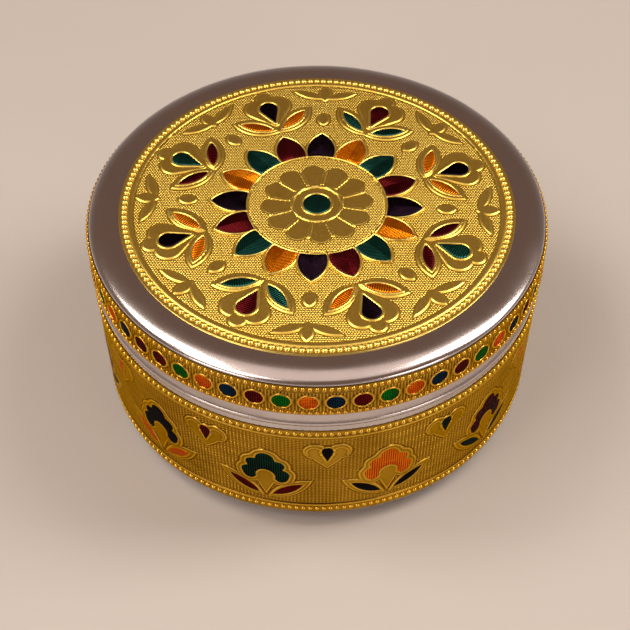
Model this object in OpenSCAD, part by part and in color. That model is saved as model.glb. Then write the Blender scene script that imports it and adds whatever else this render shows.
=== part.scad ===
// Round steel spice box with a lift-off lid, gold embossed foil and enamel fills,
// seven small cups and a spoon inside.
// Millimetres, +Z up, origin at the centre of the face the box rests on, front towards -Y.

/* [Overall] */
// Outer radius of the lid's steel skirt
lid_r = 93.6; // [84:0.1:113]
// Height from the resting face to the lid's flat steel top
total_h = 95; // [79:0.5:115]
// Thickness of the steel sheet of lid, pan and cups
sheet = 0.8; // [0.6:0.1:1.2]
// Thickness of the embossed foil
foil = 0.5; // [0.4:0.05:0.7]
// Height of the raised motifs above the foil's ground
plate = 0.4; // [0.25:0.05:0.6]
// Thickness of the enamel on the motifs
enamel = 0.25; // [0.2:0.05:0.4]

/* [Lid] */
// Depth of the lid from its top to its lower edge
lid_depth = 27.3; // [24:0.1:33]
// Width of the rounded shoulder between the flat top and the skirt
shoulder_w = 9; // [6:0.1:11]
// Drop of the rounded shoulder
shoulder_drop = 3; // [2:0.1:4]
// Steel margin between the foil disc and the start of the shoulder
margin_w = 3.6; // [2:0.1:5]
// Height of the jewelled foil band
band_h = 16.6; // [14:0.1:20]
// Number of round jewels on the band
jewel_count = 57; // [40:1:60]
// Radius of one jewel
jewel_r = 3.55; // [2.5:0.05:3.8]

/* [Pan] */
// Radius of the rounded bottom edge
corner_r = 10.5; // [8:0.1:12]
// Narrowing of the wall's radius from the ledge down to the bottom edge
wall_taper = 1.9; // [0:0.1:3]
// Gap between the neck and the lid's skirt
neck_gap = 0.6; // [0.4:0.05:1]
// Width of the ledge that carries the lid's lower edge
ledge_w = 1; // [0.9:0.05:1.4]
// Gap between the pan's rim and the lid's top sheet
rim_gap = 4.2; // [3:0.1:6]
// Number of flowers on the body band
flower_count = 11; // [8:1:11]
// Angle between neighbouring flowers
flower_step = 30.85; // [30:0.05:32]

/* [Cups and spoon] */
// Height of the cups
cup_h = 55; // [40:1:60]
// Gap between neighbouring cups
cup_gap = 0.8; // [0.6:0.1:2]
// Gap between the outer cups and the pan's wall
cup_wall_gap = 2; // [1.5:0.1:4]
// Radius of the spoon's bowl
spoon_r = 12; // [8:0.5:13]
// Length of the spoon from the bowl's centre to the end of the handle
spoon_len = 76; // [60:1:80]

/* [Hidden] */
$fn = 96;
root = 0.2;                             // depth of raised shapes inside what they stand on
arc_steps = 12;

// lid
lid_flat_r = lid_r - shoulder_w;
disc_r = lid_flat_r - margin_w;
m = disc_r / 100;                       // one hundredth of the foil disc's radius
lid_in_r = lid_r - sheet;
band_top = total_h - shoulder_drop - 0.1;
band_bottom = band_top - band_h;
band_mid = (band_top + band_bottom) / 2 - 0.3;
ground_z = total_h + foil;
plate_z = ground_z + plate;
band_r = lid_r + foil;
jewel_h = 0.8;
jewel_turn = -2;
pattern_turn = -3.1;

// pan
ledge_z = total_h - lid_depth;
neck_r = lid_in_r - neck_gap;
body_r = neck_r + ledge_w;
foot_r = body_r - wall_taper;
rim_z = total_h - sheet - rim_gap;
body_foil_top = ledge_z - 3.2;
body_foil_bottom = corner_r - 2.7;
k = (body_foil_top - body_foil_bottom) / 56.7;  // height of the body motifs against their drawn size
flower_z = body_foil_bottom + 11.7 * k;

// cups
pan_in_r = foot_r - sheet;
cup_r = (pan_in_r - cup_gap - cup_wall_gap) / 3;
cup_pitch = 2 * cup_r + cup_gap;
cup_top = sheet + cup_h;

STEEL = [0.72, 0.70, 0.69];
GOLD = [0.85, 0.65, 0.22];
BLACK = [0.07, 0.05, 0.10];
GREEN = [0.02, 0.30, 0.22];
AMBER = [0.95, 0.50, 0.05];
RED = [0.50, 0.02, 0.08];
BLUE = [0.04, 0.12, 0.25];

// colours in the order they follow each other round the disc's petals and round the body
LID_ORDER = ["black", "amber", "green", "red"];
BODY_ORDER = ["red", "black", "green", "amber"];
LEAF_ORDER = ["green", "amber", "red", "black"];
JEWEL_ORDER = ["amber", "blue", "red", "green"];

// ---------- points of curved profiles ----------

// points on an ellipse from angle a0 to a1
function arc(cx, cz, rx, rz, a0, a1) =
    [for (i = [0:arc_steps]) let (a = a0 + (a1 - a0) * i / arc_steps) [cx + rx * cos(a), cz + rz * sin(a)]];

// outer radius of the pan's wall at height z
function wall_r(z) =
    z < corner_r ? foot_r - corner_r + sqrt(pow(corner_r, 2) - pow(corner_r - z, 2))
                 : foot_r + (body_r - foot_r) * (z - corner_r) / (ledge_z - corner_r);

// ---------- flat motif shapes ----------

// pointed oval of length l and width w, along X
module lens(l, w) {
    r = (l * l + w * w) / (4 * w);
    intersection() {
        translate([0, r - w / 2]) circle(r);
        translate([0, w / 2 - r]) circle(r);
    }
}

// pointed oval between two points
module leaf(p, q, w) {
    d = q - p;
    translate((p + q) / 2) rotate(atan2(d[1], d[0])) lens(norm(d), w);
}

// drop with its tip at the origin and its round end at x = l
module drop(l, w) {
    r = w / 2;
    a = asin(r / (l - r));
    t = (l - r) * cos(a) * 0.995;
    translate([l - r, 0]) circle(r);
    polygon([[0, 0], [t * cos(a), -t * sin(a)], [t * cos(a), t * sin(a)]]);
}

// one of the sixteen pointed petals round the centre, grown by g
module petal(g = 0) {
    difference() {
        translate([40.2 * m, 0]) lens(27 * m + 3 * g, 14.7 * m + 2 * g);
        circle(36 * m - g);
    }
}

// gold ground of one flower on the disc
module disc_flower_plate() {
    for (s = [-1, 1]) {
        leaf([58.5 * m, 0], [72 * m, s * 21.6 * m], 11.2 * m);
        translate([80.9 * m, s * 6.2 * m]) circle(6.4 * m);
    }
    translate([87.2 * m, 0]) circle(4.1 * m);
    polygon([[60 * m, 0], [71.5 * m, -6.6 * m], [77.5 * m, -11 * m], [84 * m, 0],
             [77.5 * m, 11 * m], [71.5 * m, 6.6 * m]]);
}

module disc_flower_drop() {
    translate([66.3 * m, 0]) drop(16.7 * m, 10 * m);
}

module disc_flower_leaves() {
    for (s = [-1, 1])
        leaf([60.6 * m, s * 2.8 * m], [70.4 * m, s * 17.9 * m], 5.8 * m);
}

// plain gold sprig near the border
module sprig() {
    leaf([80.2 * m, 0], [92.3 * m, 0], 6.4 * m);
    for (s = [-1, 1])
        leaf([82.4 * m, 0], [87.4 * m, s * 16.9 * m], 4.4 * m);
}

// gadroon petal of the centre rosette
module gadroon() {
    translate([24.6 * m, 0]) circle(3.4 * m);
    polygon([[13.4 * m, -1.9 * m], [24.6 * m, -3.35 * m], [24.6 * m, 3.35 * m], [13.4 * m, 1.9 * m]]);
}

// scalloped hood of a body flower; y is the height above the leaves' lower tips
module hood(g = 0) {
    difference() {
        union() {
            translate([0, 24.4 * k]) circle(3.9 * k + g);
            for (s = [-1, 1]) {
                translate([s * 5.1 * k, 20.4 * k]) circle(3 * k + g);
                translate([s * 7 * k, 14.6 * k]) circle(3.1 * k + g);
                translate([s * 6.6 * k, 12 * k]) circle(2.7 * k + g);
            }
            translate([-6 * k, 12 * k]) square([12 * k, 9 * k]);
            translate([-4 * k, 16 * k]) square([8 * k, 6.8 * k]);
        }
        if (g == 0)
            translate([0, 1.8 * k]) rotate(90) drop(14.9 * k, 7.8 * k);
    }
}

module body_leaves() {
    for (s = [-1, 1])
        leaf([s * 2.6 * k, 0.3 * k], [s * 15.5 * k, 9.2 * k], 4.5 * k);
}

module body_flower_plate() {
    hood(2.6 * k);
    translate([0, -1 * k]) rotate(90) drop(16 * k, 9 * k);
    for (s = [-1, 1])
        leaf([s * 0.4 * k, -2 * k], [s * 19.6 * k, 12.4 * k], 8.6 * k);
}

module body_drop() {
    translate([0, 25.6 * k]) rotate(90) drop(9.2 * k, 5.4 * k);
}

module body_drop_plate() {
    for (s = [-1, 1])
        translate([s * 4.4 * k, 32.4 * k]) circle(4.6 * k);
    polygon([[0, 20.6 * k], [7.6 * k, 29 * k], [4.4 * k, 36.8 * k], [-4.4 * k, 36.8 * k], [-7.6 * k, 29 * k]]);
}

// ---------- placing ----------

// stands a flat shape on the wall, facing outwards at angle a from the front
module on_wall(a) {
    rotate([0, 0, a]) rotate([90, 0, 0])
        translate([0, 0, disc_r * 0.8]) linear_extrude(disc_r * 0.5) children();
}

// thin skin that follows the pan's wall between heights z0 and z1, from a to b outside the steel
module wall_skin(z0, z1, a, b) {
    zs = [for (i = [0:4]) z0 + (min(z1, corner_r) - z0) * i / 4];
    ends = z1 > corner_r ? concat(zs, [z1]) : zs;
    rotate_extrude()
        polygon(concat([for (z = ends) [wall_r(z) + b, z]],
                       [for (i = [len(ends) - 1:-1:0]) [wall_r(ends[i]) + a, ends[i]]]));
}

// straight skin round the lid's skirt
module skirt_skin(z0, z1, a, b) {
    rotate_extrude() translate([lid_r + a, z0]) square([b - a, z1 - z0]);
}

// half-round ring standing on a level surface (turn 0) or on an upright one (turn -90)
module ring(r, z, s, turn = 0) {
    rotate_extrude() translate([r, z]) rotate(turn)
        intersection() {
            circle(s, $fn = 24);
            translate([-s, -root]) square([2 * s, s + root]);
        }
}

module flower_places() {
    for (i = [0:flower_count - 1])
        let ($i = i, $a = -74.6 + i * flower_step) children();
}

// ---------- steel ----------

module base_pan() {
    outer = concat([[0, 0]], arc(foot_r - corner_r, corner_r, corner_r, corner_r, -90, 0),
                   [[body_r, ledge_z], [neck_r, ledge_z], [neck_r, rim_z - 1.2]],
                   arc(neck_r - 0.8, rim_z - 1, 1, 1, 10, 170),
                   [[neck_r - sheet, rim_z - 2.2], [neck_r - sheet, ledge_z - sheet],
                    [body_r - sheet, ledge_z - sheet]]);
    inner = [for (i = [arc_steps:-1:0])
             arc(foot_r - corner_r, corner_r, corner_r - sheet, corner_r - sheet, -90, 0)[i]];
    color(STEEL) rotate_extrude() polygon(concat(outer, inner, [[0, sheet]]));
}

module lid_shell() {
    shoulder = arc(lid_flat_r, total_h - shoulder_drop, shoulder_w, shoulder_drop, 90, 0);
    under = [for (i = [arc_steps:-1:0])
             arc(lid_flat_r, total_h - shoulder_drop, shoulder_w - sheet, shoulder_drop - sheet, 90, 0)[i]];
    color(STEEL) rotate_extrude()
        polygon(concat([[0, total_h]], shoulder, [[lid_r, ledge_z], [lid_in_r, ledge_z]], under,
                       [[0, total_h - sheet]]));
}

module cup() {
    wall = cup_r - 0.9;
    bottom = 8;
    outer = concat([[0, sheet]], arc(wall - bottom, sheet + bottom, bottom, bottom, -90, 0),
                   [[wall, cup_top - 2], [cup_r, cup_top - 1.6], [cup_r, cup_top - 0.4],
                    [cup_r - 0.4, cup_top], [wall - sheet, cup_top]]);
    inner = [for (i = [arc_steps:-1:0])
             arc(wall - bottom, sheet + bottom, bottom - sheet, bottom - sheet, -90, 0)[i]];
    color(STEEL) rotate_extrude() polygon(concat(outer, inner, [[0, 2 * sheet]]));
}

module ring_cup(i) {
    rotate([0, 0, 60 * i]) translate([cup_pitch, 0, 0]) cup();
}

// the bowl hangs in the middle cup; the handle lies flat on the cups' rims
module spoon() {
    depth = 0.62 * spoon_r;
    bowl = concat(arc(0, 0, spoon_r, depth, 0, -90),
                  [for (i = [arc_steps:-1:0]) arc(0, 0, spoon_r - 0.9, depth - 0.9, 0, -90)[i]]);
    color(STEEL) translate([-4, 0, cup_top]) {
        rotate_extrude() polygon(concat([[spoon_r, 1.1]], bowl, [[spoon_r - 0.9, 1.1]]));
        linear_extrude(1.1) difference() {
            union() {
                translate([0, -3.2]) square([spoon_len, 6.4]);
                translate([spoon_len, 0]) circle(5.2);
            }
            circle(spoon_r - 0.5);
        }
    }
}

// ---------- foil ----------

module lid_foil_disc() {
    color(GOLD) {
        translate([0, 0, total_h]) cylinder(r = disc_r, h = foil);
        ring(94.4 * m, ground_z, 1.1 * m);
        ring(97.4 * m, ground_z, 1.4 * m);
        translate([0, 0, ground_z - root]) linear_extrude(plate + root)
            rotate(pattern_turn) disc_plates();
        ring(12.7 * m, plate_z, 0.7 * m);
        translate([0, 0, plate_z - root]) linear_extrude(0.3 + root)
            rotate(pattern_turn) for (i = [0:11]) rotate(7.7 + 30 * i) gadroon();
    }
}

module disc_plates() {
    circle(35.1 * m);
    for (i = [0:15])
        rotate(22.5 * i) petal(0.4 * m);
    for (i = [0:7]) {
        rotate(22.5 + 45 * i) disc_flower_plate();
        rotate(45 * i) sprig();
        rotate(45 * i) translate([65.6 * m, 0]) lens(9 * m, 6 * m);
    }
}

module lid_foil_band() {
    color(GOLD) {
        skirt_skin(band_bottom, band_top, 0, foil);
        ring(band_r, band_top - 1.4, 0.7, -90);
        ring(band_r, band_bottom + 1.4, 0.7, -90);
    }
}

module body_foil() {
    color(GOLD) {
        wall_skin(body_foil_bottom, body_foil_top, 0, foil);
        for (z = [body_foil_top - 3.7 * k, body_foil_bottom + 6.1 * k])
            ring(wall_r(z) + foil, z, 0.6, -90);
        for (z = [body_foil_top - 1.7 * k, body_foil_bottom + 3.5 * k])
            ring(wall_r(z) + foil, z, 0.7, -90);
        intersection() {
            wall_skin(body_foil_bottom + 2, body_foil_top - 2, foil - root, foil + plate);
            union() {
                flower_places() on_wall($a) translate([0, flower_z]) body_flower_plate();
                flower_places() on_wall($a - flower_step / 2) translate([0, flower_z]) body_drop_plate();
            }
        }
    }
}

// ---------- enamel ----------

module lid_enamel(name) {
    translate([0, 0, plate_z]) linear_extrude(enamel) rotate(pattern_turn) {
        for (i = [0:15])
            if (LID_ORDER[i % 4] == name) rotate(90 - 22.5 * i) petal();
        for (i = [0:7]) rotate(22.5 + 45 * i) {
            if (["black", "red", "black", "green"][i % 4] == name) disc_flower_drop();
            if (["amber", "green", "amber", "red"][i % 4] == name) disc_flower_leaves();
        }
        if (name == "green") circle(7.2 * m);
    }
}

module body_enamel(name) {
    intersection() {
        wall_skin(body_foil_bottom + 2, body_foil_top - 2, foil + plate, foil + plate + enamel);
        union() {
            flower_places() on_wall($a) translate([0, flower_z]) {
                if (BODY_ORDER[$i % 4] == name) hood();
                if (LEAF_ORDER[$i % 4] == name) body_leaves();
            }
            flower_places() on_wall($a - flower_step / 2) translate([0, flower_z])
                if (LEAF_ORDER[$i % 4] == name) body_drop();
        }
    }
}

// the row starts at the seam, left of the front
module jewels(name) {
    intersection() {
        skirt_skin(band_bottom, band_top, foil, foil + jewel_h);
        for (i = [0:jewel_count - 1])
            if (JEWEL_ORDER[(i + 2) % 4] == name)
                rotate([0, 0, jewel_turn + (i - 6) * 360 / jewel_count])
                    translate([0, -lid_r + 4, band_mid]) rotate([90, 0, 0]) cylinder(r = jewel_r, h = 12);
    }
}

base_pan();
body_foil();
color(BLACK) body_enamel("black");  // body_enamel_black
color(GREEN) body_enamel("green");  // body_enamel_green
color(AMBER) body_enamel("amber");  // body_enamel_amber
color(RED) body_enamel("red");  // body_enamel_red
lid_shell();
lid_foil_disc();
lid_foil_band();
color(BLACK) lid_enamel("black");  // lid_enamel_black
color(GREEN) lid_enamel("green");  // lid_enamel_green
color(AMBER) lid_enamel("amber");  // lid_enamel_amber
color(RED) lid_enamel("red");  // lid_enamel_red
color(AMBER) jewels("amber");  // jewels_amber
color(BLUE) jewels("blue");  // jewels_blue
color(RED) jewels("red");  // jewels_red
color(GREEN) jewels("green");  // jewels_green
cup();  // cup_center
ring_cup(0);  // cup_1
ring_cup(1);  // cup_2
ring_cup(2);  // cup_3
ring_cup(3);  // cup_4
ring_cup(4);  // cup_5
ring_cup(5);  // cup_6
spoon();
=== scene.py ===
"""Looks of the round spice box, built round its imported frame.

The box's sizes are in millimetres until mesh_piece() scales them. The floor, lights and camera are in metres.
Angles are in degrees, counted from +X on the lid's disc and from the front, -Y, on the walls.
Each foil is a height field over a flat disc or an unrolled wall, drawn with signed distances to its motifs.
"""

import math

import bpy
import numpy as np
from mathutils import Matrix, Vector


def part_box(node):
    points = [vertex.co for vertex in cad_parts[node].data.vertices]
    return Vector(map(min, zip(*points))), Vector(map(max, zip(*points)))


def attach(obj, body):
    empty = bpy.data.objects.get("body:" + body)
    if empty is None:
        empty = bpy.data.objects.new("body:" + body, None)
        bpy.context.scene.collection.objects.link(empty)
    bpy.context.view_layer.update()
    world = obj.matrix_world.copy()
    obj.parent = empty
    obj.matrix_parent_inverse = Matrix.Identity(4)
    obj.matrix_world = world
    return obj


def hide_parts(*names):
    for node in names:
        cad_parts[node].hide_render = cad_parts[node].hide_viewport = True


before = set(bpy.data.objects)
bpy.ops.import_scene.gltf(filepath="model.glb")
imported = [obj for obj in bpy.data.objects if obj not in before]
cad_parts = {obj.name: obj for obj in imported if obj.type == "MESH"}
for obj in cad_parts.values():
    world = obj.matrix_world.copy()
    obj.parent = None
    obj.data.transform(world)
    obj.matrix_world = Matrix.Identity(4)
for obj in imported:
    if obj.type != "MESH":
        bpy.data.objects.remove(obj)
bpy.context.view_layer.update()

MM = 0.001
TAU = 2 * math.pi
RAD = math.pi / 180
FAR = 99.0                              # a distance well outside any motif


# ---------- sizes from the frame ----------

def low(node, axis):
    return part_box(node)[0][axis] / MM


def high(node, axis):
    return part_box(node)[1][axis] / MM


def outer_profile(node):
    """Heights and radii of the outer rings of vertices of a turned node that widens upwards."""
    rings = {}
    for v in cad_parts[node].data.vertices:
        z = round(v.co.z / MM, 2)
        rings[z] = max(rings.get(z, 0), math.hypot(v.co.x, v.co.y) / MM)
    heights, radii = [], []
    for z in sorted(rings):
        if not radii or rings[z] > radii[-1]:
            heights.append(z)
            radii.append(rings[z])
    return heights, radii


TOP = high("lid_shell", 2)              # the lid's flat steel top
LID_R = high("lid_shell", 0)
LEDGE = low("lid_shell", 2)             # where the lid's lower edge rests
RIM = high("base_pan", 2)
SHEET = 0.8
FOIL = 0.5
PLATE = 0.4                             # how far the disc's plates stand over its foil
BODY_PLATE = 0.9 * PLATE
SHOULDER_W = 9.0                        # width of the lid's rounded shoulder
SHOULDER_DROP = 3.0
PAN_CORNER = 10.5                       # radius of the pan's bottom edge
NECK_GAP = 0.6                          # between the pan's neck and the lid
DISC_R = high("lid_foil_disc", 0)
BAND_LOW = low("lid_foil_band", 2)
BAND_HIGH = high("lid_foil_band", 2)
BODY_LOW = low("body_foil", 2)
BODY_HIGH = high("body_foil", 2)
JEWEL_Z = (low("jewels_red", 2) + high("jewels_red", 2)) / 2
CUP_R = high("cup_center", 0)
CUP_TOP = high("cup_center", 2)
CUP_PITCH = high("cup_1", 0) - CUP_R
WALL_Z, WALL_R = outer_profile("base_pan")

PATTERN_TURN = -3.1                     # how far the disc's pattern is turned
PETALS = 16
DISC_FLOWERS = 8
GADROONS = 12
FLOWERS = 11                            # round the pan
FLOWER_STEP = 30.85                     # eleven steps leave a plain gap at the foil's seam
FIRST_FLOWER = -74.6
FLOWER_Z = BODY_LOW + 11.7              # height of the body leaves' lower tips
MOTIF_R = 93.0                          # radius at which the body's motifs have their drawn width
JEWELS = 57
JEWEL_R = 3.55
JEWEL_TURN = -2
JEWELS_LEFT = 6                         # jewels between the seam and the front
FIRST_JEWEL = 2                         # place in JEWEL_COLOURS of the jewels on both sides of the seam
RING_CUPS = 6

# Colours in order round the box, each list repeated.
PETAL_COLOURS = ["black", "amber", "green", "red"]
FLOWER_DROPS = ["black", "red", "black", "green"]
FLOWER_LEAVES = ["amber", "green", "amber", "red"]
HOOD_COLOURS = ["red", "black", "green", "amber"]
LEAF_COLOURS = ["green", "amber", "red", "black"]
JEWEL_COLOURS = ["amber", "blue", "red", "green"]


def wall_r(z):
    """Outer radius of the pan's steel at height z."""
    return np.interp(z, WALL_Z, WALL_R)


# ---------- signed distances, negative inside ----------

def circle(x, y, cx, cy, r):
    return np.hypot(x - cx, y - cy) - r


def along(x, y, p, q):
    """Coordinates along and across the line from p to q, counted from its middle, and its length."""
    length = math.hypot(q[0] - p[0], q[1] - p[1])
    ux, uy = (q[0] - p[0]) / length, (q[1] - p[1]) / length
    dx, dy = x - (p[0] + q[0]) / 2, y - (p[1] + q[1]) / 2
    return dx * ux + dy * uy, dy * ux - dx * uy, length


def lens(x, y, p, q, width):
    """Pointed oval between p and q."""
    a, b, length = along(x, y, p, q)
    r = (length * length / 4 + width * width / 4) / width
    return np.hypot(a, np.abs(b) + r - width / 2) - r


def cone(x, y, p, q, r1, r2):
    """Round-ended taper from radius r1 at p to radius r2 at q."""
    a, b, length = along(x, y, p, q)
    a = a + length / 2
    b = np.abs(b)
    s = (r1 - r2) / length
    c = math.sqrt(1 - s * s)
    foot = a * c - b * s
    return np.where(foot < 0, np.hypot(a, b) - r1,
                    np.where(foot > c * length, np.hypot(a - length, b) - r2, b * c + a * s - r1))


def drop(x, y, p, q, width):
    """Drop with its tip at p and its round end reaching q."""
    length = math.hypot(q[0] - p[0], q[1] - p[1])
    t = (length - width / 2) / length
    end = (p[0] + (q[0] - p[0]) * t, p[1] + (q[1] - p[1]) * t)
    return cone(x, y, p, end, 0.12, width / 2)


def union(*shapes):
    out = shapes[0]
    for s in shapes[1:]:
        out = np.minimum(out, s)
    return out


def smooth(t):
    t = np.clip(t, 0, 1)
    return t * t * (3 - 2 * t)


def melted(*shapes, fillet=1.4):
    """Union whose inner corners are filled by a fillet, so that no crease runs through it."""
    out = shapes[0]
    for s in shapes[1:]:
        near = np.clip(1 - np.abs(out - s) / fillet, 0, 1)
        out = np.minimum(out, s) - near * near * fillet / 4
    return out


CREST_RANGE = 0.34                      # difference in height that spans the whole range of crest()


def crest(height, u, v, reach_u, reach_v):
    """How a spot of a height field stands over its surroundings: 0 hollow, 0.5 flat, 1 crest. The foils'
    colours use it for painted shade in each hollow and a painted highlight on each crest.
    """
    beside = height(u + reach_u, v) + height(u - reach_u, v) + height(u, v + reach_v) + height(u, v - reach_v)
    return np.clip(0.5 + (height(u, v) - beside / 4) / CREST_RANGE, 0, 1)


def rise(d, height, bevel):
    """Height of a flat-topped form whose sloping side lies inside the distance d."""
    return height * smooth(-d / bevel)


def line(d, height, half):
    """Height of a round-backed line that follows d = 0."""
    return height * np.sqrt(np.clip(1 - (d / half) ** 2, 0, 1))


def folded(x, y, count, first):
    """The same pattern count times round the centre, seen in one slice along +X."""
    r = np.hypot(x, y)
    step = TAU / count
    a = (np.arctan2(y, x) - first * RAD + step / 2) % step - step / 2
    return r * np.cos(a), r * np.sin(a)


# ---------- motifs of the lid's disc, along +X ----------

CENTRE_R = 5.8                          # green enamel in the middle
HUB_LINE_R = 10.2
HUB_R = 11.6
SPOKE_IN, SPOKE_OUT = 11.8, 19.6
GADROON_IN, GADROON_OUT = 12.4, 18.3    # centres of a gadroon's round ends
ROSETTE_BUMPS_R = 18.5                  # the rosette's bumps begin here, between the gadroons
ROSETTE_R = 28.4
PETAL_IN, PETAL_OUT, PETAL_WIDTH = 21.6, 43.5, 11.9
GROUND_R = 76.0
BORDER_LINE_R = 76.6
BORDER_BEADS_R = 78.9
LEAF_IN, LEAF_OUT = (49.1, 2.2), (57.0, 14.6)


def petal(x, y, grow=0.0):
    """A pointed oval cut off by the rosette."""
    body = lens(x, y, (PETAL_IN - grow, 0), (PETAL_OUT + 1.6 * grow, 0), PETAL_WIDTH + 2 * grow)
    return np.maximum(body, ROSETTE_R + 0.5 - grow - np.hypot(x, y))


def disc_drop(x, y):
    return drop(x, y, (53.5, 0), (67.2, 0), 8.1)


def disc_leaf(x, y):
    return lens(x, np.abs(y), LEAF_IN, LEAF_OUT, 4.7)


def disc_flower(x, y):
    side = np.abs(y)
    return union(lens(x, side, (47.4, 0), (58.6, 17.6), 9.2),
                 cone(x, side, (54, 0), (64.5, 4.6), 2.5, 5.6),
                 circle(x, y, 70.4, 0, 3.5))


def sprig(x, y):
    return union(lens(x, y, (65, 0), (74.7, 0), 5.2),
                 lens(x, np.abs(y), (66.6, 0), (70.9, 13.8), 3.9))


def oval(x, y):
    return lens(x, y, (49.2, 0), (57.0, 0), 5.2)


def hex_bumps(x, y, pitch):
    """Rounded bumps on a triangular grid: 0 between them, 1 on top."""
    k = TAU * 2 / (math.sqrt(3) * pitch)
    directions = (math.pi / 2, math.pi / 6, -math.pi / 6)
    waves = sum(np.cos(k * (x * math.cos(a) + y * math.sin(a))) for a in directions)
    return np.clip((waves / 3 + 0.5) / 1.5, 0, 1) ** 0.8


BUMP_PITCH = 1.1
BUMP = 0.28                             # height of the ground's small bumps
GLAZE_SINK = 0.12                       # how far the foil is pressed in under the enamel


def disc_height(x, y):
    """Height of the disc's foil above the lid's steel."""
    r = np.hypot(x, y)
    px, py = folded(x, y, PETALS, PATTERN_TURN)
    fx, fy = folded(x, y, DISC_FLOWERS, 22.5 + PATTERN_TURN)
    sx, sy = folded(x, y, DISC_FLOWERS, PATTERN_TURN)
    gx, gy = folded(x, y, GADROONS, 7.7 + PATTERN_TURN)
    rx, ry = folded(x, y, GADROONS, 22.7 + PATTERN_TURN)
    petals = petal(px, py, 0.75)
    flower = disc_flower(fx, fy) - 0.5
    sprigs = union(sprig(sx, sy), oval(sx, sy)) - 0.5
    rosette = r - ROSETTE_R
    gadroon = cone(gx, gy, (GADROON_IN, 0), (GADROON_OUT, 0), 2.75, 4.6)
    hub = r - HUB_R
    plates = np.maximum.reduce([rise(petals, PLATE, 0.5), rise(flower, PLATE, 1.15),
                                rise(sprigs, PLATE, 1.1), rise(rosette, PLATE, 1.0)])
    enamel = union(petal(px, py), disc_drop(fx, fy), disc_leaf(fx, fy), r - CENTRE_R)
    spokes = cone(rx, ry, (SPOKE_IN, 0), (SPOKE_OUT, 0), 0.2, 0.3)
    textured = union(petals, flower, sprigs, np.abs(r - BORDER_LINE_R) - 1.6)
    textured = np.where(r < ROSETTE_R - 0.3, union(gadroon, hub, r - ROSETTE_BUMPS_R), textured)
    bumps = hex_bumps(x, y, BUMP_PITCH) * smooth(textured / 0.5) * (np.abs(rosette) > 0.25)
    return (FOIL + plates + BUMP * bumps * (r < GROUND_R) + rise(gadroon, 0.12, 0.5) + line(spokes, 0.34, 0.6)
            + line(r - HUB_LINE_R, 0.42, 0.85) + line(r - BORDER_LINE_R, 0.45, 1.2)
            + line(enamel - 0.42, 0.32, 0.58) - GLAZE_SINK * smooth(-enamel / 0.4))


# ---------- motifs of the pan's wall: x round the wall, y above the leaves' lower tips ----------

BODY_LEAF_IN, BODY_LEAF_OUT = (2.6, 0.3), (15.5, 9.2)


def hood(x, y, grow=0.0):
    """The lobed head of a flower on the pan."""
    side = np.abs(x)
    return melted(np.maximum(side - 6 - grow, np.abs(y - 16.5) - 4.5 - grow),
                  circle(x, y, 0, 24.2, 3.9 + grow), circle(side, y, 5.1, 20.4, 3.0 + grow),
                  circle(side, y, 7.0, 14.6, 3.1 + grow), circle(side, y, 6.6, 12.0, 2.7 + grow),
                  circle(x, y, 0, 19.8, 4.2 + grow))


def hood_hole(x, y):
    return drop(x, y, (0, 1.8), (0, 16.7), 7.8)


def hood_enamel(x, y):
    return np.maximum(hood(x, y), -hood_hole(x, y))


def body_leaf(x, y):
    return lens(np.abs(x), y, BODY_LEAF_IN, BODY_LEAF_OUT, 4.5)


def body_drop(x, y):
    return drop(x, y, (0, 25.6), (0, 34.8), 5.4)


def body_halo(x, y):
    """The plate round a hood and its leaves."""
    side = np.abs(x)
    return union(hood(x, y, 2.6), drop(x, y, (0, -1.0), (0, 15), 9.0),
                 lens(side, y, (0.4, -2.0), (19.6, 12.4), 8.6))


def heart_plate(x, y):
    """The heart-shaped plate round a drop."""
    side = np.abs(x)
    return union(cone(x, y, (0, 21.5), (0, 29.6), 0.8, 6.4), circle(side, y, 4.8, 32.0, 5.2))


def curls(x, y):
    """Distance to the thin lines that curl along the lobes of the heart."""
    return np.where(y > 29.5, np.abs(circle(np.abs(x), y, 5.2, 31.6, 3.1)), FAR)


def beside_nearest(angle, first):
    """Distance round the wall from the nearest repeat of those that start at first, FAR in the seam's gap."""
    turn = (angle - first + FLOWER_STEP / 2) % 360 - FLOWER_STEP / 2
    place = np.round(turn / FLOWER_STEP)
    return np.where(place < FLOWERS, (turn - place * FLOWER_STEP) * RAD * MOTIF_R, FAR)


RIBS = 388                              # upright ribs round the pan's foil
DOT_PITCH = 1.15                        # of the dots along a rib
RIBS_PER_JEWEL = 8


def body_height(angle, z):
    """Height of the pan's foil above the steel."""
    x = beside_nearest(angle, FIRST_FLOWER)
    xd = beside_nearest(angle, FIRST_FLOWER - FLOWER_STEP / 2)
    y = z - FLOWER_Z
    heart = heart_plate(xd, y)
    plates = union(body_halo(x, y), heart)
    enamel = union(hood_enamel(x, y), body_leaf(x, y), body_drop(xd, y))
    top_line, low_line = BODY_HIGH - 3.7, BODY_LOW + 6.1
    field = np.minimum(plates, np.minimum(top_line - 1.0 - z, z - low_line - 1.0))
    rib = 0.5 + 0.5 * np.cos(angle * RAD * RIBS)
    dots = 0.56 + 0.44 * np.cos(TAU * z / DOT_PITCH)
    edge = np.maximum(z - (BODY_HIGH - 0.8), BODY_LOW + 0.8 - z)
    return (FOIL + 0.38 * rib * dots * smooth(field / 0.4) + rise(plates, BODY_PLATE, 0.8)
            + line(plates + 0.5, 0.16, 0.5) + line(z - top_line, 0.5, 0.7) + line(z - low_line, 0.5, 0.7)
            + line(enamel - 0.3, 0.12, 0.45) - GLAZE_SINK * smooth(-enamel / 0.4)
            + line(curls(xd, y), 0.18, 0.5) * (heart < 0) - 0.35 * smooth((edge + 0.3) / 1.1))


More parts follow.
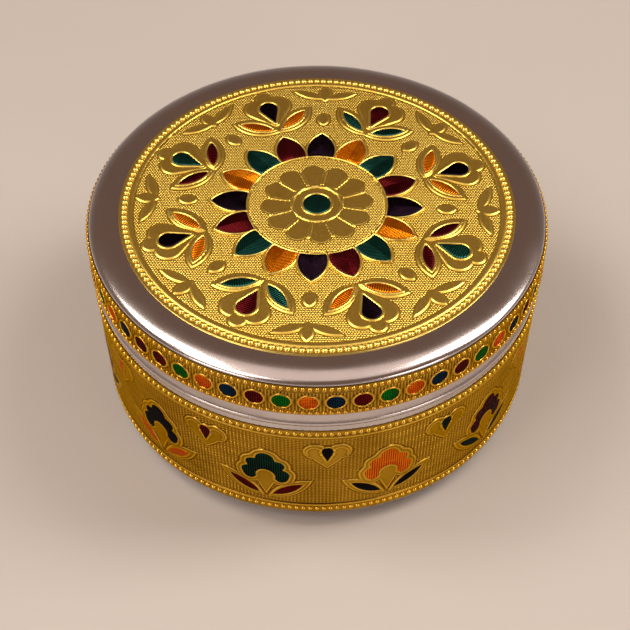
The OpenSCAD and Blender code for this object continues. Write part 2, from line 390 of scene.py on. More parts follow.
def band_height(angle, z):
    """Height of the lid band's foil above the steel."""
    step = 360 / JEWELS
    turn = (angle - JEWEL_TURN + step / 2) % step - step / 2
    d = np.hypot(turn * RAD * (LID_R + FOIL), z - JEWEL_Z)
    rib = 0.5 + 0.5 * np.cos(angle * RAD * JEWELS * RIBS_PER_JEWEL)
    rows = np.maximum(np.abs(z - JEWEL_Z) - 5.6, 4.3 - d)
    edge = np.maximum(z - (BAND_HIGH - 0.6), BAND_LOW + 0.6 - z)
    return (FOIL + 0.24 * rib * smooth(-rows / 0.4) + line(d - JEWEL_R - 0.4, 0.36, 0.6)
            - 0.1 * smooth((JEWEL_R - d) / 0.3) - 0.3 * smooth((edge + 0.3) / 0.9))


# ---------- meshes ----------

def mesh_piece(name, points, faces, body, slot, material, normals=None, layers=None):
    """A smooth-shaded piece from points in millimetres, with layers of numbers on them for the material."""
    mesh = bpy.data.meshes.new(name)
    mesh.from_pydata((np.asarray(points, float) * MM).tolist(), [], [list(f) for f in faces])
    mesh.update()
    mesh.polygons.foreach_set("use_smooth", [True] * len(mesh.polygons))
    for layer, values in (layers or {}).items():
        mesh.attributes.new(layer, "FLOAT", "POINT").data.foreach_set("value", np.asarray(values, np.float32))
    if normals is not None:
        mesh.normals_split_custom_set_from_vertices(np.asarray(normals, float).tolist())
    mesh.materials.append(material)
    piece = bpy.data.objects.new(name, mesh)
    bpy.context.scene.collection.objects.link(piece)
    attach(piece, body)
    return piece


def unit(v):
    return v / np.linalg.norm(v, axis=1, keepdims=True)


def merged(parts):
    """One list of points and one of faces from several."""
    points, faces, start = [], [], 0
    for p, f in parts:
        points.append(np.asarray(p, float))
        faces.extend([[i + start for i in face] for face in f])
        start += len(p)
    return np.vstack(points), faces


def lathe(profile, segments=192):
    """Points and faces of a profile of (radius, height) turned round Z."""
    points, faces = [], []
    n = len(profile)
    for s in range(segments):
        a = TAU * s / segments
        points += [(r * math.cos(a), r * math.sin(a), z) for r, z in profile]
    for s in range(segments):
        a, b = s * n, (s + 1) % segments * n
        for i in range(n - 1):
            if profile[i][0] < 1e-6:
                faces.append((a + i, b + i + 1, a + i + 1)[::-1])
            elif profile[i + 1][0] < 1e-6:
                faces.append((a + i, b + i, a + i + 1)[::-1])
            else:
                faces.append((a + i, b + i, b + i + 1, a + i + 1)[::-1])
    return points, faces


def arc(cr, cz, rr, rz, start, end, steps=10):
    """Points of an elliptic arc of a profile."""
    return [(cr + rr * math.cos((start + (end - start) * i / steps) * RAD),
             cz + rz * math.sin((start + (end - start) * i / steps) * RAD)) for i in range(steps + 1)]


def domes(centres, outs, sides, size, rings=4, segments=10):
    """Half-ellipsoids standing on a surface. size is along the side, across it and outwards."""
    centres, outs, sides = (np.asarray(v, float) for v in (centres, outs, sides))
    across = np.cross(outs, sides)
    points, faces = [], []
    for c, o, s, t in zip(centres, outs, sides, across):
        start = len(points)
        for i in range(rings):
            up = 90 * RAD * i / rings
            for j in range(segments):
                a = TAU * j / segments
                points.append(c + s * size[0] * math.cos(up) * math.cos(a)
                              + t * size[1] * math.cos(up) * math.sin(a) + o * size[2] * math.sin(up))
        points.append(c + o * size[2])
        for i in range(rings - 1):
            for j in range(segments):
                k = (j + 1) % segments
                faces.append((start + i * segments + j, start + i * segments + k,
                              start + (i + 1) * segments + k, start + (i + 1) * segments + j))
        last = start + (rings - 1) * segments
        faces += [(last + j, last + (j + 1) % segments, len(points) - 1) for j in range(segments)]
    return points, faces


def ring_of_beads(radius, z, count, size, flat):
    """Domes in a ring, on a level surface if flat and otherwise on an upright wall."""
    angles = [TAU * (i + 0.5) / count for i in range(count)]
    outward = [(math.cos(a), math.sin(a), 0) for a in angles]
    tangent = [(-math.sin(a), math.cos(a), 0) for a in angles]
    centres = [(radius * c, radius * s, z) for c, s, _ in outward]
    return domes(centres, [(0, 0, 1)] * count if flat else outward, tangent, size)


# ---------- materials ----------

class Nodes:
    """Short calls for building one material."""

    def __init__(self, name):
        self.material = bpy.data.materials.new(name)
        self.material.use_nodes = True
        self.tree = self.material.node_tree
        self.shader = self.tree.nodes["Principled BSDF"]

    def add(self, kind, inputs=None, **settings):
        node = self.tree.nodes.new(kind)
        for key, value in settings.items():
            setattr(node, key, value)
        for key, value in (inputs or {}).items():
            self.set(node, key, value)
        return node

    def set(self, node, key, value):
        socket = node.inputs[key]
        if isinstance(value, bpy.types.NodeSocket):
            self.tree.links.new(value, socket)
        else:
            socket.default_value = value

    def math(self, operation, a, b=0.0):
        return self.add("ShaderNodeMath", {0: a, 1: b}, operation=operation).outputs[0]

    def place(self):
        return self.add("ShaderNodeTexCoord").outputs["Object"]

    def noise(self, vector, scale, detail=3.0, roughness=0.55):
        return self.add("ShaderNodeTexNoise", {"Vector": vector, "Scale": scale, "Detail": detail,
                                               "Roughness": roughness}).outputs["Fac"]

    def remap(self, value, low_out, high_out, low_in=0.0, high_in=1.0):
        return self.add("ShaderNodeMapRange", {"Value": value, "From Min": low_in, "From Max": high_in,
                                               "To Min": low_out, "To Max": high_out}).outputs["Result"]

    def blend(self, factor, a, b):
        node = self.add("ShaderNodeMix", data_type="RGBA")
        self.set(node, 0, factor)
        self.set(node, 6, a)
        self.set(node, 7, b)
        return node.outputs[2]

    def bump(self, height, strength, distance, normal=None):
        node = self.add("ShaderNodeBump", {"Height": height, "Strength": strength, "Distance": distance})
        if normal is not None:
            self.set(node, "Normal", normal)
        return node.outputs["Normal"]

    def surface(self, **inputs):
        for key, value in inputs.items():
            self.set(self.shader, key.replace("_", " "), value)
        return self.material


def steel(name, colour, dull, roughness):
    """Polished sheet with fine turned lines, faint smears and a little dulling."""
    n = Nodes(name)
    place = n.place()
    parts = n.add("ShaderNodeSeparateXYZ", {"Vector": place}).outputs
    radius = n.math("SQRT", n.math("ADD", n.math("MULTIPLY", parts[0], parts[0]),
                                   n.math("MULTIPLY", parts[1], parts[1])))
    turned = n.add("ShaderNodeCombineXYZ", {"X": n.math("MULTIPLY", radius, 1800.0),
                                            "Y": n.math("MULTIPLY", parts[2], 1800.0)}).outputs[0]
    lines = n.noise(turned, 1.0, 2.0)
    smear = n.noise(place, 38.0, 4.0)
    return n.surface(Base_Color=n.blend(n.remap(smear, 0.0, 1.0, 0.35, 0.7), colour, dull), Metallic=1.0,
                     Roughness=n.remap(smear, roughness - 0.04, roughness + 0.07, 0.3, 0.7),
                     Normal=n.bump(lines, 0.02, 0.00006))


def gold(name, crest_highlight, hollow_shade, edge, roughness):
    """Lacquered embossing foil, its colour darker in each hollow of the embossing (painted shade) and lighter
    on each crest (painted highlight), with fine grain and small dents.
    """
    n = Nodes(name)
    place = n.place()
    relief_shade = n.add("ShaderNodeAttribute", attribute_name="relief_shade").outputs["Fac"]
    tone = n.remap(n.noise(place, 60.0, 3.0), -0.07, 0.07, 0.3, 0.7)
    grain = n.noise(place, 900.0, 2.0)
    dents = n.noise(place, 170.0, 2.0)
    normal = n.bump(grain, 0.05, 0.00005, n.bump(dents, 0.05, 0.0002))
    # painted shade in each hollow and painted highlight on each crest of the embossing, plus a little random
    # tone
    shade = n.math("ADD", n.math("POWER", relief_shade, 1.5), tone)
    return n.surface(Base_Color=n.blend(shade, hollow_shade, crest_highlight), Metallic=1.0, Specular_Tint=edge,
                     Roughness=n.remap(grain, roughness - 0.02, roughness + 0.03, 0.3, 0.7),
                     Normal=normal)


def glaze(name, bright, deep, pitch, hatch):
    """Clear coloured lacquer over hatched foil. The hatching repeats along the lines and cross layers."""
    n = Nodes(name)
    lines = n.add("ShaderNodeAttribute", attribute_name="lines").outputs["Fac"]
    cross = n.add("ShaderNodeAttribute", attribute_name="cross").outputs["Fac"]
    wave = n.math("MULTIPLY", n.math("SINE", n.math("MULTIPLY", lines, TAU / pitch)),
                  n.math("COSINE", n.math("MULTIPLY", cross, TAU / pitch)))
    cloud = n.noise(n.place(), 160.0, 2.0)
    shade = n.remap(n.math("ADD", n.math("MULTIPLY", wave, 0.55), cloud), 0.0, 1.0, 0.1, 1.0)
    return n.surface(Base_Color=n.blend(shade, deep, bright), Metallic=0.95, Specular_Tint=bright,
                     Specular_IOR_Level=0.2, Roughness=n.remap(cloud, 0.2, 0.3, 0.3, 0.7),
                     Normal=n.bump(wave, 1.0, hatch), Coat_Weight=0.06, Coat_Roughness=0.08, Coat_IOR=1.5)


def rgb(r, g, b):
    return (r, g, b, 1.0)


# Pitch of the hatching in millimetres and its depth in metres.
ENAMEL_HATCH = (0.95, 0.00006)
JEWEL_HATCH = (1.25, 0.00013)

# Bright and deep colour of each lacquer.
GLAZE_COLOURS = {
    "black": (rgb(0.014, 0.006, 0.012), rgb(0.003, 0.001, 0.003)),
    "green": (rgb(0.020, 0.120, 0.090), rgb(0.006, 0.035, 0.032)),
    "amber": (rgb(1.0, 0.36, 0.01), rgb(0.55, 0.065, 0.0)),
    "red": (rgb(0.135, 0.007, 0.010), rgb(0.035, 0.003, 0.004)),
}
BODY_GLAZE_COLOURS = {
    "black": (rgb(0.012, 0.005, 0.010), rgb(0.002, 0.001, 0.002)),
    "green": (rgb(0.0, 0.055, 0.035), rgb(0.0, 0.008, 0.007)),
    "amber": (rgb(0.95, 0.27, 0.004), rgb(0.30, 0.03, 0.0)),
    "red": (rgb(0.16, 0.001, 0.003), rgb(0.03, 0.0, 0.001)),
}
JEWEL_TINTS = {
    "blue": (rgb(0.004, 0.045, 0.10), rgb(0.0, 0.003, 0.008)),
    "green": (rgb(0.0, 0.26, 0.012), rgb(0.0, 0.03, 0.002)),
    "amber": (rgb(1.0, 0.24, 0.006), rgb(0.26, 0.012, 0.0)),
    "red": (rgb(0.20, 0.0, 0.004), rgb(0.02, 0.0, 0.001)),
}

lid_steel = steel("lid_steel", rgb(0.70, 0.63, 0.62), rgb(0.58, 0.51, 0.50), 0.17)
pan_steel = steel("pan_steel", rgb(0.66, 0.61, 0.59), rgb(0.55, 0.49, 0.47), 0.2)
cup_steel = steel("cup_steel", rgb(0.74, 0.73, 0.72), rgb(0.64, 0.63, 0.62), 0.16)
spoon_steel = steel("spoon_steel", rgb(0.76, 0.75, 0.74), rgb(0.66, 0.65, 0.64), 0.14)
disc_gold = gold("disc_gold", rgb(1.0, 0.82, 0.24), rgb(0.72, 0.42, 0.025), rgb(1.0, 0.90, 0.60), 0.31)
# The band's and the pan's gold are deeper and darker than the disc's: painted shade, for the dark
# surroundings that upright walls reflect.
band_gold = gold("band_gold", rgb(0.88, 0.50, 0.065), rgb(0.035, 0.01, 0.001), rgb(1.0, 0.70, 0.20), 0.24)
body_gold = gold("body_gold", rgb(1.0, 0.62, 0.08), rgb(0.12, 0.038, 0.002), rgb(1.0, 0.70, 0.20), 0.24)
enamels = {c: glaze("enamel_" + c, *tints, *ENAMEL_HATCH) for c, tints in GLAZE_COLOURS.items()}
body_enamels = {c: glaze("body_enamel_" + c, *tints, *ENAMEL_HATCH)
                for c, tints in BODY_GLAZE_COLOURS.items()}
jewel_glass = {c: glaze("jewel_" + c, *tints, *JEWEL_HATCH) for c, tints in JEWEL_TINTS.items()}


# ---------- foil ----------

def disc_foil():
    """The disc's height field on a triangular grid, its outer points moved onto the disc's edge."""
    step = BUMP_PITCH / 3
    row = step * math.sqrt(3) / 2
    rows = int((DISC_R + 1) / row)
    columns = int((DISC_R + 1) / step) + 1
    j, i = np.meshgrid(np.arange(-rows, rows + 1), np.arange(-columns, columns + 1), indexing="ij")
    x = ((i + 0.5 * (j % 2)) * step).ravel()
    y = (j * row).ravel()
    wide = 2 * columns + 1
    index = np.arange(len(x)).reshape(2 * rows + 1, wide)
    lower, upper = index[:-1], index[1:]
    odd = (np.arange(-rows, rows) % 2 == 1)[:, None]
    a, b, c, d = lower[:, :-1], lower[:, 1:], upper[:, :-1], upper[:, 1:]
    first = np.where(odd[..., None], np.stack([a, b, d], -1), np.stack([a, b, c], -1))
    second = np.where(odd[..., None], np.stack([a, d, c], -1), np.stack([b, d, c], -1))
    faces = np.concatenate([first.reshape(-1, 3), second.reshape(-1, 3)])
    r = np.hypot(x, y)
    edge = DISC_R - 0.4 * step
    faces = faces[(r[faces] < edge).sum(1) > 0]
    faces = faces[(r[faces] < edge + step).all(1)]
    pull = np.where(r > edge, DISC_R / np.maximum(r, 1), 1)
    x, y = x * pull, y * pull
    used = np.unique(faces)
    renumber = np.zeros(len(x), int)
    renumber[used] = np.arange(len(used))
    x, y, faces = x[used], y[used], renumber[faces]
    z = disc_height(x, y)
    e = 0.12
    slope_x = (disc_height(x + e, y) - disc_height(x - e, y)) / (2 * e)
    slope_y = (disc_height(x, y + e) - disc_height(x, y - e)) / (2 * e)
    normals = unit(np.stack([-slope_x, -slope_y, np.ones(len(x))], 1))
    points = np.stack([x, y, TOP + z], 1)
    # painted shade and highlight of the embossing, for the foil's colour
    relief_shade = crest(disc_height, x, y, BUMP_PITCH / 2, BUMP_PITCH / 2)
    return mesh_piece("disc_foil", points, faces.tolist(), "lid", "gold_foil", disc_gold, normals,
                      {"relief_shade": relief_shade})


def on_cylinder(angle, r, z):
    """Points at an angle from the front, a radius and a height."""
    return np.stack([r * np.sin(angle * RAD), -r * np.cos(angle * RAD), z], 1)


def wall_foil(name, height, radius_at, z_low, z_high, columns, z_step, material, body):
    """An unrolled height field wrapped round a wall."""
    rows = int((z_high - z_low) / z_step) + 1
    angle, z = np.meshgrid(np.arange(columns) * 360 / columns, np.linspace(z_low, z_high, rows))
    angle, z = angle.ravel(), z.ravel()

    def at(a, h):
        return on_cylinder(a, radius_at(h) + height(a, h), h)

    points = at(angle, z)
    da, dz = 0.08, 0.12
    normals = unit(np.cross(at(angle + da, z) - at(angle - da, z), at(angle, z + dz) - at(angle, z - dz)))
    index = np.arange(rows * columns).reshape(rows, columns)
    turned = np.roll(index, -1, 1)
    faces = np.stack([index[:-1], turned[:-1], turned[1:], index[1:]], -1).reshape(-1, 4)
    # painted shade and highlight of the embossing, for the foil's colour
    relief_shade = crest(height, angle, z, 0.45, 0.55)
    return mesh_piece(name, points, faces.tolist(), body, "gold_foil", material, normals, {"relief_shade": relief_shade})


def jewel_rim(angle):
    """Round ring of foil that holds one jewel."""
    points, faces = [], []
    rows, columns = 8, 28
    thick = 0.42
    for j in range(columns):
        b = TAU * j / columns
        for i in range(rows):
            c = TAU * i / rows
            r = JEWEL_R + 0.35 + thick * math.cos(c)
            a = angle * RAD + r * math.cos(b) / LID_R
            out = LID_R + FOIL + 0.2 + thick * math.sin(c)
            points.append((out * math.sin(a), -out * math.cos(a), JEWEL_Z + r * math.sin(b)))
            faces.append((j * rows + i, (j + 1) % columns * rows + i,
                          (j + 1) % columns * rows + (i + 1) % rows, j * rows + (i + 1) % rows))
    return points, faces


def bead_piece(name, parts, body, material):
    """Raised beads and rings, their colour painted nearly as light as a crest of the foil: a painted
    highlight.
    """
    points, faces = merged(parts)
    # painted highlight: every bead and ring takes nearly the light colour of a crest
    relief_shade = np.full(len(points), 0.85)
    mesh_piece(name, points, faces, body, "gold_foil", material, layers={"relief_shade": relief_shade})


def disc_pieces():
    """The disc's foil, with a row of beads and a turned-down edge round it."""
    disc = disc_foil()
    beads = ring_of_beads(BORDER_BEADS_R, TOP + FOIL, 174, (1.32, 1.3, 0.8), True)
    edge = lathe([(DISC_R, TOP + FOIL), (DISC_R + 0.15, TOP + FOIL - 0.12), (DISC_R + 0.15, TOP)])
    bead_piece("disc_border", [beads, edge], "lid", disc_gold)
    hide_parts("lid_foil_disc")


def band_pieces():
    """The lid's band, with two rows of beads and a ring round each jewel."""
    band = wall_foil("lid_band", band_height, lambda z: LID_R + 0 * z, BAND_LOW, BAND_HIGH, JEWELS * 24, 0.4,
                     band_gold, "lid")
    rows = [ring_of_beads(LID_R + FOIL, z, 218, (1.05, 1.0, 0.8), False)
            for z in (BAND_HIGH - 1.5, BAND_LOW + 1.5)]
    rims = [jewel_rim(JEWEL_TURN + i * 360 / JEWELS) for i in range(JEWELS)]
    bead_piece("lid_band_beads", rows, "lid", band_gold)
    bead_piece("jewel_rims", rims, "lid", band_gold)
    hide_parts("lid_foil_band")


def body_pieces():
    """The pan's foil, with two rows of beads."""
    body = wall_foil("body_wall", body_height, wall_r, BODY_LOW, BODY_HIGH, RIBS * 3, 0.36, body_gold, "base")
    rows = [ring_of_beads(float(wall_r(z)) + FOIL, z, 206, (1.05, 0.95, 0.8), False)
            for z in (BODY_HIGH - 1.7, BODY_LOW + 3.5)]
    bead_piece("body_beads", rows, "base", body_gold)
    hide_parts("body_foil")


disc_pieces()
band_pieces()
body_pieces()


# ---------- enamel ----------

def patch(shape, centre, size, reach=26.0, fractions=(0.25, 0.5, 0.7, 0.85, 0.94, 1.0), rays=72):
    """Points of a flat shape, in rings from its centre or its hole out to its outline, faces and depths.

    size is the shape's rough length and width, and closes up the rays towards the ends of a long one.
    """
    t = TAU * np.arange(rays) / rays
    ux, uy = size[0] * np.cos(t), size[1] * np.sin(t)
    norm = np.hypot(ux, uy)
    ux, uy = ux / norm, uy / norm
    s = np.linspace(0, reach, 1200)[:, None]
    inside = shape(centre[0] + s * ux, centre[1] + s * uy) < 0
    outer = s[len(s) - 1 - np.argmax(inside[::-1], axis=0), 0]
    inner = np.where(inside[0], 0, s[np.argmax(inside, axis=0), 0])
    hollow = bool(inner.max() > 0)
    steps = ((0.0, 0.06) + tuple(fractions)) if hollow else fractions
    keep = inside.any(0)
    rings = [np.stack([centre[0] + (inner + (outer - inner) * f) * ux,
                       centre[1] + (inner + (outer - inner) * f) * uy], 1) for f in steps]
    points = np.vstack(rings if hollow else [[centre]] + rings)
    outline = np.vstack([rings[-1][keep]] + ([rings[0][keep]] if hollow else []))
    depth = np.hypot(points[:, None, 0] - outline[:, 0], points[:, None, 1] - outline[:, 1]).min(1)
    faces = []
    first = 0 if hollow else 1
    for j in range(rays):
        k = (j + 1) % rays
        if not (keep[j] and keep[k]):
            continue
        if not hollow:
            faces.append((0, 1 + j, 1 + k))
        for i in range(len(steps) - 1):
            a, b = first + i * rays, first + (i + 1) * rays
            faces.append((a + j, b + j, b + k, a + k))
    return points, faces, depth


def cushion(depth, height=0.3, soft=0.6, roof=0.0):
    """Height of the enamel's surface over the plate at a depth inside its outline."""
    return height * np.sqrt(np.clip(depth / soft, 0, 1)) + roof * depth - 0.12


def enamel_piece(name, node, slot, material, body, patches):
    """One piece from patches of (points, faces, lines layer, cross layer)."""
    points, faces = merged([part[:2] for part in patches])
    layers = {"lines": np.concatenate([part[2] for part in patches]),
              "cross": np.concatenate([part[3] for part in patches])}
    piece = mesh_piece(name, points, faces, body, slot, material, layers=layers)
    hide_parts(node)


def on_disc(points, depth, turn, roof):
    """A flat patch turned round the disc's centre and laid on its plates."""
    a = (turn + PATTERN_TURN) * RAD
    x = points[:, 0] * math.cos(a) - points[:, 1] * math.sin(a)
    y = points[:, 0] * math.sin(a) + points[:, 1] * math.cos(a)
    return np.stack([x, y, TOP + FOIL + PLATE + cushion(depth, roof=roof)], 1)


def on_wall(points, depth, angle):
    """A flat patch bent round the pan's wall."""
    z = FLOWER_Z + points[:, 1]
    r = wall_r(z) + FOIL + BODY_PLATE + cushion(depth, 0.24)
    return on_cylinder(angle + points[:, 0] / MOTIF_R / RAD, r, z)


def mirrored(faces, side):
    return faces if side == 1 else [f[::-1] for f in faces]


def disc_enamel(colour):
    """The disc's petals, drops and leaves of one colour. Its centre goes with the green ones."""
    patches = []
    petal_points, petal_faces, petal_depth = patch(petal, (36.2, 0), (9, 6.5))
    petal_lines = petal_points[:, 0] + 0.75 * np.abs(petal_points[:, 1])
    drop_points, drop_faces, drop_depth = patch(disc_drop, (63.2, 0), (9, 5))
    leaf_points, leaf_faces, leaf_depth = patch(lambda x, y: np.where(y > 0, disc_leaf(x, y), FAR),
                                                (53.05, 8.4), (7, 10))
    leaf_lines, _, _ = along(leaf_points[:, 0], leaf_points[:, 1], LEAF_IN, LEAF_OUT)
    for i in range(PETALS):
        if PETAL_COLOURS[i % 4] == colour:
            patches.append((on_disc(petal_points, petal_depth, 90 - 360 / PETALS * i, 0.07), petal_faces,
                            petal_lines, 0 * petal_lines))
    for i in range(DISC_FLOWERS):
        turn = 360 / DISC_FLOWERS * (i + 0.5)
        if FLOWER_DROPS[i % 4] == colour:
            patches.append((on_disc(drop_points, drop_depth, turn, 0.05), drop_faces,
                            drop_points[:, 0], 0 * drop_depth))
        if FLOWER_LEAVES[i % 4] == colour:
            for side in (1, -1):
                patches.append((on_disc(leaf_points * (1, side), leaf_depth, turn, 0.05),
                                mirrored(leaf_faces, side), leaf_lines, 0 * leaf_depth))
    if colour == "green":
        points, faces, depth = patch(lambda x, y: np.hypot(x, y) - CENTRE_R, (0, 0), (1, 1))
        patches.append((on_disc(points, depth, 0, 0.0), faces, 0 * depth, 0 * depth))
    enamel_piece("disc_enamel_" + colour, "lid_enamel_" + colour, "enamel_" + colour, enamels[colour], "lid",
                 patches)


def body_enamel(colour):
    """The pan's hoods, leaves and drops of one colour."""
    patches = []
    hood_points, hood_faces, hood_depth = patch(hood_enamel, (0, 12.8), (1, 1), reach=18, rays=144,
                                                fractions=(0.2, 0.4, 0.6, 0.8, 0.93, 1.0))
    leaf_points, leaf_faces, leaf_depth = patch(lambda x, y: np.where(x > 0, body_leaf(x, y), FAR),
                                                (9.05, 4.75), (10, 7))
    leaf_lines, _, _ = along(leaf_points[:, 0], leaf_points[:, 1], BODY_LEAF_IN, BODY_LEAF_OUT)
    drop_points, drop_faces, drop_depth = patch(body_drop, (0, 31.6), (4, 6))
    for i in range(FLOWERS):
        angle = FIRST_FLOWER + i * FLOWER_STEP
        if HOOD_COLOURS[i % 4] == colour:
            patches.append((on_wall(hood_points, hood_depth, angle), hood_faces, hood_points[:, 0],
                            0 * hood_depth))
        if LEAF_COLOURS[i % 4] == colour:
            for side in (1, -1):
                patches.append((on_wall(leaf_points * (side, 1), leaf_depth, angle),
                                mirrored(leaf_faces, side), leaf_lines, 0 * leaf_depth))
            patches.append((on_wall(drop_points, drop_depth, angle - FLOWER_STEP / 2), drop_faces,
                            drop_points[:, 0], 0 * drop_depth))
    enamel_piece("body_enamel_inlay_" + colour, "body_enamel_" + colour, "enamel_" + colour,
                 body_enamels[colour], "base", patches)


def jewel_piece(colour):
    """The band's domed jewels of one colour."""
    patches = []
    flat, faces, _ = patch(lambda x, y: np.hypot(x, y) - JEWEL_R, (0, 0), (1, 1), rays=32,
                           fractions=(0.3, 0.55, 0.75, 0.9, 1.0))
    d = np.hypot(flat[:, 0], flat[:, 1]) / JEWEL_R
    lift = FOIL + 0.05 + 0.5 * np.sqrt(np.clip(1 - 0.9 * d * d, 0, 1))
    slant = (flat[:, 0] + flat[:, 1]) / math.sqrt(2)
    other = (flat[:, 0] - flat[:, 1]) / math.sqrt(2)
    for i in range(JEWELS):
        if JEWEL_COLOURS[(i + FIRST_JEWEL) % 4] == colour:
            a = JEWEL_TURN + (i - JEWELS_LEFT) * 360 / JEWELS + flat[:, 0] / LID_R / RAD
            patches.append((on_cylinder(a, LID_R + lift, JEWEL_Z + flat[:, 1]), faces, slant, other))
    enamel_piece("jewel_row_" + colour, "jewels_" + colour, "jewel_" + colour, jewel_glass[colour], "lid",
                 patches)


for tint in GLAZE_COLOURS:
    disc_enamel(tint)
    body_enamel(tint)
for tint in JEWEL_TINTS:
    jewel_piece(tint)


# ---------- steel ----------

def lid_steel_piece():
    """Flat top, rounded shoulder and straight skirt with a rolled lower edge."""
    flat_r = LID_R - SHOULDER_W
    shoulder_z = TOP - SHOULDER_DROP
    profile = [(0, TOP), (DISC_R - 2, TOP), (flat_r - 1.2, TOP)]
    profile += arc(flat_r, shoulder_z, LID_R - flat_r, SHOULDER_DROP, 90, 0, 20)
    profile += [(LID_R, TOP - 10), (LID_R, BAND_LOW), (LID_R, LEDGE + 2.4)]
    profile += arc(LID_R - 0.25, LEDGE + 1.3, 0.45, 0.9, 80, -10, 6)
    profile += [(LID_R - 0.05, LEDGE + 0.25), (LID_R - 0.3, LEDGE), (LID_R - SHEET, LEDGE),
                (LID_R - SHEET, shoulder_z)]
    profile += arc(flat_r, shoulder_z, LID_R - flat_r - SHEET, SHOULDER_DROP - SHEET, 0, 90, 12)
    profile += [(0, TOP - SHEET)]
    piece = mesh_piece("lid_sheet", *lathe(profile, 256), "lid", "steel", lid_steel)
    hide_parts("lid_shell")


def pan_steel_piece():
    """Flat bottom, rounded edge, wall, ledge for the lid, and a neck with a rolled rim."""
    corner = PAN_CORNER
    foot = float(wall_r(corner))
    body_r = float(wall_r(LEDGE - 0.01))
    neck = LID_R - SHEET - NECK_GAP
    profile = [(0, 0), (foot - corner - 4, 0)] + arc(foot - corner, corner, corner, corner, -90, 0, 16)
    profile += [(float(wall_r(z)), z) for z in np.linspace(20, LEDGE - 1.2, 6)]
    profile += arc(body_r - 0.5, LEDGE - 0.5, 0.5, 0.5, 0, 90, 4)
    profile += [(neck + 0.15, LEDGE), (neck, LEDGE + 0.15), (neck, LEDGE + 8), (neck, RIM - 1.8)]
    profile += arc(neck - 0.8, RIM - 1, 1, 1, 10, 170, 10)
    profile += [(neck - SHEET, RIM - 2.4), (neck - SHEET, LEDGE), (neck - SHEET + 0.3, LEDGE - 1.2),
                (body_r - SHEET, LEDGE - 2.2), (foot - SHEET, corner)]
    profile += arc(foot - corner, corner, corner - SHEET, corner - SHEET, -2, -90, 14)
    profile += [(foot - corner - 4, SHEET), (0, SHEET)]
    piece = mesh_piece("pan_sheet", *lathe(profile, 256), "base", "steel", pan_steel)
    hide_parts("base_pan")


def cup_profile():
    """Straight wall with a rounded bottom edge and a rim rolled outwards."""
    wall = CUP_R - 0.9
    corner = 8.0
    roll = 0.8
    profile = [(0, SHEET), (wall - corner - 3, SHEET)]
    profile += arc(wall - corner, SHEET + corner, corner, corner, -90, 0, 12)
    profile += [(wall, SHEET + corner + 3), (wall, CUP_TOP - 2.6)]
    profile += arc(CUP_R - roll, CUP_TOP - roll, roll, roll, -60, 90, 8)
    profile += [(wall - SHEET + 0.3, CUP_TOP), (wall - SHEET, CUP_TOP - 0.3),
                (wall - SHEET, SHEET + corner + 3)]
    profile += arc(wall - corner, SHEET + corner, corner - SHEET, corner - SHEET, 0, -90, 12)
    profile += [(wall - corner - 3, 2 * SHEET), (0, 2 * SHEET)]
    return profile


def cup_piece(node, x, y):
    points, faces = lathe(cup_profile(), 96)
    piece = mesh_piece(node + "_turned", np.asarray(points) + (x, y, 0), faces, node, "steel", cup_steel)
    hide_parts(node)


def spoon_piece():
    """A round bowl pressed from sheet and a handle that widens to a rounded end."""
    bowl_x, bowl_r, thick = -4.0, 12.0, 1.0
    depth = 0.62 * bowl_r
    end_x = high("spoon", 0)
    tip_length = 5.2
    tip_x = end_x - tip_length
    sides = 12
    profile = [(0, -depth)] + arc(0, 0, bowl_r, depth, -84, 0, 12)
    profile += [(bowl_r + 0.1, 0.5), (bowl_r, thick), (bowl_r - 0.5, thick + 0.1),
                (bowl_r - 0.9, thick - 0.2)]
    profile += arc(0, 0, bowl_r - 0.9, depth - 0.9, -2, -90, 12)
    bowl_points, bowl_faces = lathe(profile, 64)
    bowl_points = np.asarray(bowl_points) + (bowl_x, 0, CUP_TOP)
    xs = np.concatenate([np.linspace(bowl_x + bowl_r - 0.6, tip_x - 0.1, 22),
                         tip_x + tip_length * np.sin(np.linspace(0, 90, 9) * RAD)])
    points, faces = [], []
    for x in xs:
        t = (x - xs[0]) / (xs[-1] - xs[0])
        half = 3.1 - 0.9 * math.sin(math.pi * min(1, t * 1.6)) + 2.4 * float(smooth((t - 0.55) / 0.35))
        tip = (x - tip_x) / tip_length
        if tip > 0:
            half *= math.sqrt(max(1 - tip * tip, 0.0004))
        for a in range(sides):
            side, up = math.cos(TAU * a / sides), math.sin(TAU * a / sides)
            points.append((x, half * np.sign(side) * abs(side) ** 0.6, CUP_TOP + 0.5 + 0.5 * up
                           + 0.25 * math.sin(math.pi * t) * abs(side)))
    rows = len(xs)
    for i in range(rows - 1):
        for a in range(sides):
            b = (a + 1) % sides
            faces.append((i * sides + a, (i + 1) * sides + a, (i + 1) * sides + b, i * sides + b))
    faces.append(tuple(range(sides)))
    faces.append(tuple((rows - 1) * sides + a for a in range(sides))[::-1])
    piece = mesh_piece("spoon_pressed", *merged([(bowl_points, bowl_faces), (points, faces)]),
                       "spoon", "steel", spoon_steel)
    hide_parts("spoon")


lid_steel_piece()
pan_steel_piece()
cup_piece("cup_center", 0, 0)
for i in range(RING_CUPS):
    turn = TAU * i / RING_CUPS
    cup_piece("cup_%d" % (i + 1), CUP_PITCH * math.cos(turn), CUP_PITCH * math.sin(turn))
spoon_piece()


# ---------- floor, light and camera ----------

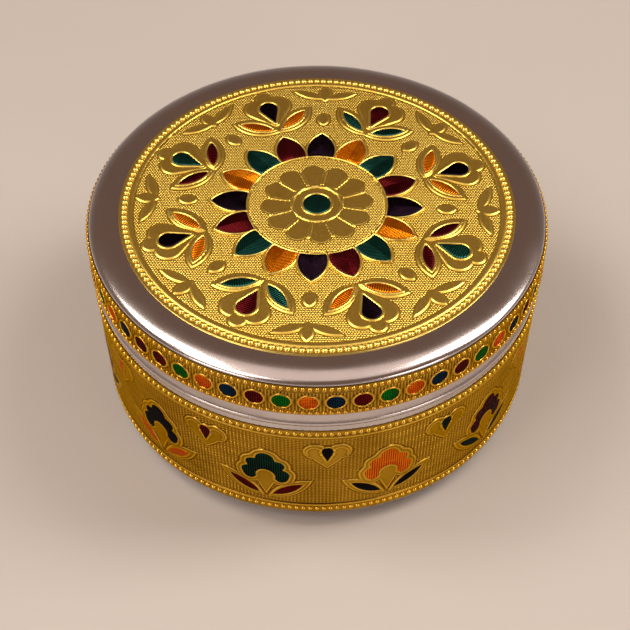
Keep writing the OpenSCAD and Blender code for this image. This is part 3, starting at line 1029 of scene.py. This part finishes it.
def floor():
    """A wide, plain, pale and slightly uneven surface."""
    n = Nodes("floor_pale")
    tone = n.noise(n.place(), 3.0, 4.0)
    grain = n.noise(n.place(), 160.0, 3.0)
    material = n.surface(Base_Color=n.blend(tone, rgb(0.50, 0.45, 0.415), rgb(0.56, 0.51, 0.475)),
                         Roughness=0.75, Normal=n.bump(grain, 0.08, 0.0004))
    size = 6.0
    mesh = bpy.data.meshes.new("floor")
    corners = [(-size, -size, 0), (size, -size, 0), (size, size, 0), (-size, size, 0)]
    mesh.from_pydata(corners, [], [(0, 1, 2, 3)])
    mesh.materials.append(material)
    piece = bpy.data.objects.new("floor", mesh)
    bpy.context.scene.collection.objects.link(piece)


BOX_MIDDLE = (0, 0, 0.05)               # what the side lights point at


def soft_light(name, place, aim, size, power, colour):
    light = bpy.data.lights.new(name, "AREA")
    light.shape = "RECTANGLE"
    light.size, light.size_y = size
    light.energy = power
    light.color = colour
    lamp = bpy.data.objects.new(name, light)
    lamp.location = place
    lamp.rotation_euler = (Vector(aim) - Vector(place)).to_track_quat("-Z", "Y").to_euler()
    bpy.context.scene.collection.objects.link(lamp)


def studio():
    """Pale near the horizon, dim half-way up, so that flat metal looks deep and its edges stay bright."""
    world = bpy.data.worlds.new("studio")
    world.use_nodes = True
    tree = world.node_tree
    place = tree.nodes.new("ShaderNodeTexCoord").outputs["Generated"]
    up = tree.nodes.new("ShaderNodeSeparateXYZ")
    tree.links.new(place, up.inputs[0])
    ramp = tree.nodes.new("ShaderNodeValToRGB")
    stops = [(0.0, (0.44, 0.39, 0.355)), (0.12, (0.30, 0.25, 0.22)), (0.3, (0.22, 0.17, 0.14)),
             (0.52, (0.17, 0.105, 0.075)), (0.85, (0.17, 0.105, 0.075)), (0.97, (0.30, 0.25, 0.22))]
    ramp.color_ramp.elements.remove(ramp.color_ramp.elements[1])
    for i, (at, colour) in enumerate(stops):
        element = ramp.color_ramp.elements[0] if i == 0 else ramp.color_ramp.elements.new(at)
        element.position = at
        element.color = (*colour, 1)
    tree.links.new(up.outputs[2], ramp.inputs[0])
    background = tree.nodes["Background"]
    tree.links.new(ramp.outputs[0], background.inputs[0])
    background.inputs[1].default_value = 1.0
    bpy.context.scene.world = world
    bpy.context.scene.view_settings.view_transform = "Standard"
    soft_light("overhead", (0, 0, 1.45), (0, 0, 0), (1.4, 1.0), 2.7, (1.0, 0.82, 0.70))
    for side in (-1, 1):
        soft_light("side", (side * 0.85, 0.12, 1.35), BOX_MIDDLE, (0.5, 0.7), 9.0, (1.0, 0.95, 0.86))
        soft_light("front_low", (side * 1.05, -1.2, 0.5), BOX_MIDDLE, (0.7, 0.45), 4.5, (1.0, 0.92, 0.84))
    soft_light("front_left", (-0.75, -0.6, 1.4), BOX_MIDDLE, (0.7, 0.55), 6.0, (1.0, 0.93, 0.86))
    soft_light("right", (1.15, 0.1, 1.0), BOX_MIDDLE, (0.5, 0.5), 4.5, (1.0, 0.93, 0.86))


def camera():
    """Looks down on the box from the front."""
    data = bpy.data.cameras.new("camera")
    data.sensor_width = 36
    data.lens = 86.9
    eye = bpy.data.objects.new("camera", data)
    distance, pitch = 0.6735, 47.96 * RAD
    middle = Vector((-0.0008, 0, 0.0278))
    eye.location = middle + Vector((0, -distance * math.cos(pitch), distance * math.sin(pitch)))
    eye.rotation_euler = (math.pi / 2 - pitch, 0, 0)
    bpy.context.scene.collection.objects.link(eye)
    bpy.context.scene.camera = eye


floor()
studio()
camera()
